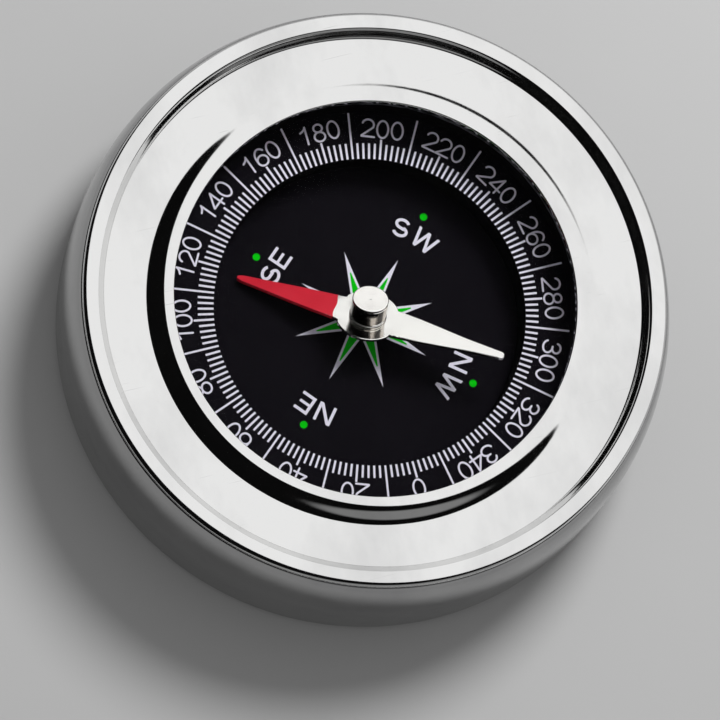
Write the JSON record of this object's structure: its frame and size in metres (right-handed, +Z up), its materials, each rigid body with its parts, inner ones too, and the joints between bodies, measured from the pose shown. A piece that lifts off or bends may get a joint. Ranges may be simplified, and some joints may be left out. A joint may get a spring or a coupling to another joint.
{
  "type": "compass",
  "caption": "Round stainless steel compass: bulged case, polished front ring, glass, sunk star dial inside a degree ring, and a needle that turns and leans on a point.",
  "frame": {"origin": "middle of the underside, on the surface that the compass stands on", "axes": "+Z up through the glass along the pivot, +Y towards the zero mark of the degree ring; headings run clockwise seen from above"},
  "size_m": [0.0758, 0.0758, 0.0195],
  "materials": {
    "case_steel": "polished",
    "polished_steel": "mirror polished",
    "base_steel": "brushed",
    "hard_steel": "satin",
    "nickel": "polished nickel plate, one arm lacquered red",
    "brass": "turned",
    "glass": "clear, polished",
    "dial_black": "matt black with printed scales",
    "black_plastic": "moulded, satin",
    "jewel": "polished",
    "seal_rubber": "matt",
    "felt": "pressed felt"
  },
  "bodies": {
    "case": {"case_shell": "case_steel", "bezel": "polished_steel", "bezel_seal": "seal_rubber", "base_plate": "base_steel", "base_pad": "felt", "base_screw_1": "hard_steel", "base_screw_2": "hard_steel", "base_screw_3": "hard_steel", "base_screw_4": "hard_steel", "crystal": "glass", "crystal_gasket": "seal_rubber", "crystal_retainer": "hard_steel", "liner_ring": "black_plastic", "dial_carrier": "black_plastic", "dial_disc": "dial_black", "chapter_ring": "dial_black", "pivot_post": "brass", "pivot_pin": "hard_steel", "pivot_washer": "hard_steel", "pivot_nut": "brass"},
    "jewel": {"jewel_cup": "jewel"},
    "needle": {"needle_blade": "nickel", "hub_cap": "nickel", "hub_collar": "brass"}
  },
  "joints": [
    {"name": "needle_turn", "type": "hinge", "parent": "case", "child": "jewel", "pos_m": [0, 0, 0.01314], "axis": [0, 0, 1], "continuous": true},
    {"name": "needle_lean", "type": "hinge", "parent": "jewel", "child": "needle", "pos_m": [0, 0, 0.01314], "axis": [0.9681, -0.2504, 0], "range_deg": [-58, 0]}
  ]
}
